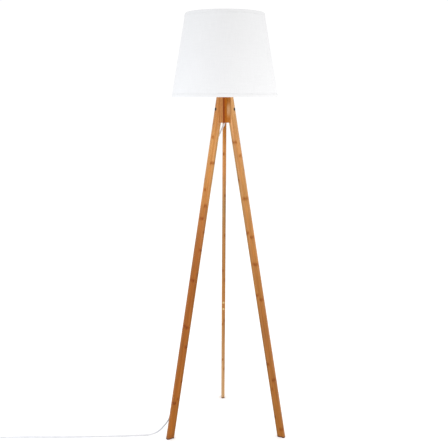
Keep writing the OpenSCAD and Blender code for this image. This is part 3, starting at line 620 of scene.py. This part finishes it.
# Size of the hem's fold: the leg outside, its depth, and how far the tape's middle lies from its faces
HEM_LEG = 0.010
HEM_DEPTH = 0.0064
HEM_MIDDLE = 0.00025
HEM_BEND = 0.001


def shade_r(z):
    return SHADE_LOW_R + (SHADE_HIGH_R - SHADE_LOW_R) * (z - SHADE_Z) / SHADE_H


def woven(name, tone, thread, slub):
    """Plain weave that follows the shade round its axis, with slubs both ways, uneven threads, and painted
    light and shade that make it lighter at the bottom and darker at the top.
    """
    g = Graph(name, Sheen_Weight=0.12, Sheen_Roughness=0.4, Specular_IOR_Level=0.25)
    x, y, z = g.split(g.position)
    threads = round(TURN * (SHADE_LOW_R + SHADE_HIGH_R) / 2 / thread / 2) * 2
    around = g.times(g.math("ARCTAN2", y, x), threads / TURN)
    up = g.math("DIVIDE", z, thread)
    drift = g.times(g.noise(g.position, 90, 2.0), 1.6)
    around_drift = g.plus(around, drift)
    up_drift = g.plus(up, drift)
    warp = g.math("ABSOLUTE", g.math("SINE", g.times(around_drift, math.pi)))
    weft = g.math("ABSOLUTE", g.math("SINE", g.times(up_drift, math.pi)))
    cells = g.plus(g.math("FLOOR", around_drift), g.math("FLOOR", up_drift))
    over = g.math("GREATER_THAN", g.math("PINGPONG", cells, 1.0), 0.5)
    height = g.add("ShaderNodeMix", {0: over, 2: warp, 3: weft}).outputs[0]
    weft_slub = g.noise(g.join(g.times(around, 0.012), g.times(up, 0.55), 0.0), 1.0, 2.0)
    warp_slub = g.noise(g.join(g.times(around, 0.55), g.times(up, 0.016), 3.0), 1.0, 2.0)
    slubs = g.plus(weft_slub, warp_slub)
    cloud = g.noise(g.position, 11, 2.0)
    level = g.rescale(slubs, 0.7, 1.3, 1 - slub, 1.0)
    level = g.times(level, g.rescale(height, 0.0, 1.0, 0.965, 1.0))
    level = g.times(level, g.rescale(cloud, 0.3, 0.7, 0.988, 1.0))
    # Painted light and shade: the cloth is lighter towards the bottom and darker towards the top
    level = g.times(level, g.rescale(z, SHADE_Z, SHADE_Z + SHADE_H, CLOTH_LOW_PAINTED_LIGHT, CLOTH_HIGH_PAINTED_LIGHT))
    relief = g.plus(height, g.times(slubs, 1.5))
    gloss = g.rescale(slubs, 0.7, 1.3, 0.92, 0.8)
    return g.finish(g.shade((*tone, 1), level), gloss, g.bump(relief, 0.04 * MM))


def wavy(angle, height):
    """A slow unevenness round the shade, from -1 to 1."""
    slow = 0.5 * math.sin(3 * angle + 9 * height)
    quicker = 0.3 * math.sin(7 * angle - 17 * height)
    return slow + quicker + 0.2 * math.sin(11 * angle)


def shade_cloth(material):
    """The cloth: one sheet round the liner, its end folded under and glued over its start at the back."""
    overlap_angle = OVERLAP / SHADE_LOW_R
    points = []
    for i in range(CLOTH_ROWS):
        z = SHADE_Z + TAPE_T + (SHADE_H - 2 * TAPE_T) * i / (CLOTH_ROWS - 1)
        for j in range(CLOTH_COLUMNS):
            turned = (TURN + overlap_angle) * j / (CLOTH_COLUMNS - 1)
            lap = ease((turned - TURN + 0.02) / 0.02)
            lift = CLOTH_T * 1.15 * lap + 0.00008 * wavy(turned, z)
            r = shade_r(z) - TAPE_T + lift
            angle = SEAM_ANGLE + turned
            points.append((r * math.cos(angle), r * math.sin(angle), z))
    faces = grid_faces(CLOTH_ROWS, CLOTH_COLUMNS, False)
    made = piece("shade_cloth", points, faces, material)
    thicken(made, CLOTH_T)
    return made


def hem(name, edge, up, inner_leg, material):
    """Tape of the same cloth, folded over an edge and round its wire, with an uneven cut edge."""
    quarter = [math.radians(15 * k) for k in range(1, 7)]
    inner_r = min(0.0020, inner_leg * 0.8)
    outer_bend = HEM_BEND - HEM_MIDDLE
    inner_bend = inner_r - HEM_MIDDLE
    inner_x = HEM_DEPTH - inner_r
    profile = [(HEM_MIDDLE, HEM_LEG * (1 - k / 8) + HEM_BEND * k / 8) for k in range(9)]
    profile += [(HEM_BEND - outer_bend * math.cos(a), HEM_BEND - outer_bend * math.sin(a)) for a in quarter]
    profile += [(inner_x + inner_bend * math.sin(a), inner_r - inner_bend * math.cos(a)) for a in quarter]
    profile.append((HEM_DEPTH - HEM_MIDDLE, inner_leg))
    points = []
    for across, rise in profile:
        for j in range(CLOTH_COLUMNS):
            angle = TURN * j / CLOTH_COLUMNS
            wobble = 0.00018 * wavy(2 * angle, edge) + 0.00006 * math.sin(61 * angle)
            fray = wobble * 2.0 * (rise / HEM_LEG) ** 4
            z = edge + up * (rise + fray)
            r = shade_r(z) - across + 0.3 * wobble * (1 - abs(2 * rise / HEM_LEG - 1))
            points.append((r * math.cos(angle), r * math.sin(angle), z))
    faces = grid_faces(len(profile), CLOTH_COLUMNS, True)
    made = piece(name, points, faces, material)
    thicken(made, TAPE_T, 0.0)
    return made


# ---- welds and eased edges ----

ARM_ANGLES = (30, 150, 270)
# Radius and height of each weld's middle on an arm, then its half sizes outwards, round and up
WELDS = [(0.0262, 1.2228, (0.0027, 0.0024, 0.0016)), (0.1743, 1.1815, (0.0020, 0.0027, 0.0019))]
WELD_ROWS = 10
WELD_COLUMNS = 18
# Width of the rounding on a node's sharp edges
EASED_EDGES = [
    ("hub_block", 0.0007), ("foot_pads", 0.0004), ("coil_tie", 0.00025), ("switch_base", 0.0005),
    ("switch_button", 0.0004), ("holder_cap", 0.0005), ("spider_ring", 0.0003), ("switch_block", 0.0004),
]


def weld_beads(material):
    """Small lumpy beads where the arms meet the holder's ring and the lower wire."""
    points = []
    faces = []
    for angle in ARM_ANGLES:
        turn = math.radians(angle)
        for radius, height, (out, wide, tall) in WELDS:
            start = len(points)
            for i in range(WELD_ROWS + 1):
                polar = math.pi * i / WELD_ROWS
                for j in range(WELD_COLUMNS):
                    around = TURN * j / WELD_COLUMNS
                    lump = 1 + 0.07 * math.sin(5 * around + angle) * math.sin(3 * polar)
                    x = radius + out * lump * math.sin(polar) * math.cos(around)
                    y = wide * lump * math.sin(polar) * math.sin(around)
                    z = height + tall * lump * math.cos(polar)
                    east = x * math.cos(turn) - y * math.sin(turn)
                    north = x * math.sin(turn) + y * math.cos(turn)
                    points.append((east, north, z))
            rows = grid_faces(WELD_ROWS + 1, WELD_COLUMNS, True)
            faces.extend(tuple(start + k for k in reversed(face)) for face in rows)
    made = piece("weld_beads", points, faces, material)
    merge = made.modifiers.new("poles", "WELD")
    merge.merge_threshold = 0.000001
    return made


def ease_edges(name, width):
    """A narrow rounding along a CAD node's sharp edges."""
    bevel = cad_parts[name].modifiers.new("eased", "BEVEL")
    bevel.width = width
    bevel.segments = 2
    bevel.limit_method = "ANGLE"
    bevel.angle_limit = math.radians(50)
    bevel.use_clamp_overlap = True


# ---- screw threads ----

PITCH = 0.0036
THREAD_COLUMNS = 96
THREAD_R = 0.0130
THREAD_DEPTH = 0.00027
THREAD_ROW = 0.0003
# Plain rim at the foot and at the head of a thread, and the stretch over which the thread runs out
RIM_LOW = 0.0008
RIM_HIGH = 0.0012
RUN_OUT = 0.0022


def screw_surface(name, low, high, gap, bottom, top, material, body, thickness):
    """A rolled Edison thread between two heights, running out into a plain rim at each end.

    gap moves the whole surface inwards, and bottom and top are the rims' radii.
    """
    rows = int((high - low) / THREAD_ROW)
    points = []
    for i in range(rows + 1):
        z = low + (high - low) * i / rows
        for j in range(THREAD_COLUMNS):
            wave = math.cos(TURN * (z / PITCH - j / THREAD_COLUMNS))
            keep_low = ease((z - low - RIM_LOW) / RUN_OUT)
            keep_high = ease((high - z - RIM_HIGH) / RUN_OUT)
            plain = bottom if keep_low < 1 else top
            keep = keep_low * keep_high
            r = keep * (THREAD_R + THREAD_DEPTH * wave) + (1 - keep) * plain - gap
            angle = TURN * j / THREAD_COLUMNS
            points.append((r * math.cos(angle), r * math.sin(angle), z))
    faces = grid_faces(rows + 1, THREAD_COLUMNS, True)
    made = piece(name, points, faces, material, body=body)
    thicken(made, thickness, 0.0)
    return made


# ---- switch spring ----

SPRING_PLACE = (-0.865, -0.092)
SPRING_FOOT = 0.0111
SPRING_TOP = 0.0239
SPRING_R = 0.0046
SPRING_WIRE = 0.0005
SPRING_TURNS = 6
SPRING_STEPS = 28
WIRE_SIDES = 10


def spring_coil(material):
    """A compression spring of round wire with a closed turn at each end."""
    closed = 2.2 * SPRING_WIRE
    open_rise = SPRING_TOP - SPRING_FOOT - 2 * SPRING_WIRE - 2 * closed
    points = []
    rings = SPRING_TURNS * SPRING_STEPS + 1
    for i in range(rings):
        turns = i / SPRING_STEPS
        middle = min(max((turns - 1) / (SPRING_TURNS - 2), 0), 1)
        ends = min(turns, 1) + max(turns - SPRING_TURNS + 1, 0)
        height = SPRING_FOOT + SPRING_WIRE + closed * ends + open_rise * middle
        for j in range(WIRE_SIDES):
            around = TURN * j / WIRE_SIDES
            r = SPRING_R + SPRING_WIRE * math.cos(around)
            x = SPRING_PLACE[0] + r * math.cos(TURN * turns)
            y = SPRING_PLACE[1] + r * math.sin(TURN * turns)
            points.append((x, y, height + SPRING_WIRE * math.sin(around)))
    faces = [tuple(reversed(face)) for face in grid_faces(rings, WIRE_SIDES, True)]
    faces.append(tuple(range(WIRE_SIDES)))
    faces.append(tuple(reversed(range((rings - 1) * WIRE_SIDES, rings * WIRE_SIDES))))
    return piece("contact_spring", points, faces, material)


# ---- materials ----

CLOTH = woven("shade_weave", (0.788, 0.788, 0.797), THREAD, 0.05)
TAPE = woven("hem_weave", (0.778, 0.778, 0.786), 0.0005, 0.04)
LINER = moulded(
    "liner_sheet", linear(236, 235, 230), 0.42, spread=0.02, patch=60, grain=0.8, grain_bump=0.01
)
WHITE_PAINT = moulded("white_powder_coat", linear(236, 236, 233), 0.34, 0.03, 14, 0.35, grain_bump=0.02)
CERAMIC = moulded(
    "steatite", linear(232, 226, 212), 0.28, spread=0.07, patch=5, grain=0.25, Coat_Weight=0.2
)
BRASS = metal("brass", (0.72, 0.53, 0.26), 0.3, tarnish=(0.36, 0.24, 0.10))
ZINC = metal("zinc_plate", (0.66, 0.66, 0.64), 0.34, tarnish=(0.42, 0.41, 0.38))
NICKEL = metal("nickel_plate", (0.70, 0.67, 0.62), 0.24, tarnish=(0.52, 0.48, 0.42))
BLACK_STEEL = moulded("black_oxide", linear(34, 31, 29), 0.4, spread=0.3, patch=4, grain=0.2, Metallic=0.6)
PAD = moulded("foot_pad_rubber", linear(100, 58, 32), 0.8, spread=0.2, patch=5, grain=0.35, grain_bump=0.05)
LIVE = moulded("live_insulation", linear(112, 66, 36), 0.4, spread=0.08, patch=4)
NEUTRAL = moulded("neutral_insulation", linear(46, 96, 160), 0.4, spread=0.08, patch=4)
OPAL = moulded("opal_globe", linear(240, 240, 236), 0.22, 0.015, 20, Coat_Weight=0.3, Subsurface_Weight=0.3)
HUB = hub_bamboo()


# ---- pieces and paint ----


def repaint(material, *nodes):
    """Gives CAD nodes a material."""
    for name in nodes:
        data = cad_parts[name].data
        data.materials.clear()
        data.materials.append(material)


for leg_name, angle, front, base, marks, tints, seed in LEGS:
    upper = leg_bamboo(f"bamboo_{leg_name}_upper", angle, front, base, marks, tints, 1.0, seed)
    lower = leg_bamboo(f"bamboo_{leg_name}_lower", angle, front, base, marks, tints, LOWER_GAIN, seed + 3)
    repaint(upper, f"upper_leg_{leg_name}")
    repaint(lower, f"lower_leg_{leg_name}")
repaint(HUB, "hub_block")
repaint(LINER, "shade_liner")
repaint(WHITE_PAINT, "top_ring_wire", "bottom_ring_wire", "spider_arms", "spider_ring")
repaint(WHITE_PLASTIC, "holder_cap", "holder_body", "shade_ring_nut", "bulb_housing", "cord_clips")
repaint(WHITE_PLASTIC, "switch_base", "switch_cover", "switch_button", "switch_clamps", "plug_body")
repaint(FLEX, "cord_relief", "switch_reliefs", "plug_relief")
repaint(CERAMIC, "holder_insert")
repaint(BRASS, "holder_centre_contact", "holder_terminals", "splice_screws")
repaint(ZINC, "threaded_tube", "tube_nuts", "tube_washers", "hub_inserts", "terminal_screws", "clip_nails")
repaint(ZINC, "switch_screws", "bulb_contact")
repaint(NICKEL, "plug_pins")
repaint(BLACK_STEEL, "leg_bolts")
repaint(PAD, "foot_pads")
repaint(LIVE, "live_core", "switch_live_core")
repaint(NEUTRAL, "neutral_core", "switch_neutral_core")
repaint(BLACK_PLASTIC, "switch_block", "bulb_insulator", "coil_tie", "pin_sleeves")
repaint(OPAL, "bulb_globe")

cloth = shade_cloth(CLOTH)
hem_top = hem("hem_top", SHADE_Z + SHADE_H, -1, 0.0045, TAPE)
hem_bottom = hem("hem_bottom", SHADE_Z, 1, 0.0016, TAPE)
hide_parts("shade_fabric")
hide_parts("top_hem_tape")
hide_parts("bottom_hem_tape")

shell = screw_surface("holder_thread", 1.223, 1.245, 0.0, 0.01345, 0.01350, BRASS, "stand", 0.0004)
cap_thread = screw_surface(
    "bulb_thread", 1.226, 1.246, 0.00035, 0.0124, 0.0134, ZINC, "bulb", 0.0003
)
weld_beads(WHITE_PAINT)
for node_name, edge_width in EASED_EDGES:
    ease_edges(node_name, edge_width)
spring = spring_coil(ZINC)
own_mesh(spring)
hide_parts("switch_spring")
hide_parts("holder_thread_shell")
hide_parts("bulb_cap")


# ---- finishing ----

floor_material = moulded(
    "studio_floor",
    (FLOOR_TONE, FLOOR_TONE, FLOOR_TONE),
    0.85,
    spread=0.004,
    patch=400,
    Emission_Color=(1, 1, 1, 1),
    Emission_Strength=FLOOR_GLOW,
)
floor_mesh = bpy.data.meshes.new("floor")
half = FLOOR_SIZE / 2
floor_corners = [(-half, -half, 0), (half, -half, 0), (half, half, 0), (-half, half, 0)]
floor_mesh.from_pydata(floor_corners, [], [(0, 1, 2, 3)])
floor_mesh.materials.append(floor_material)
floor = bpy.data.objects.new("floor", floor_mesh)
floor.location.z = -FLOOR_DROP
bpy.context.collection.objects.link(floor)
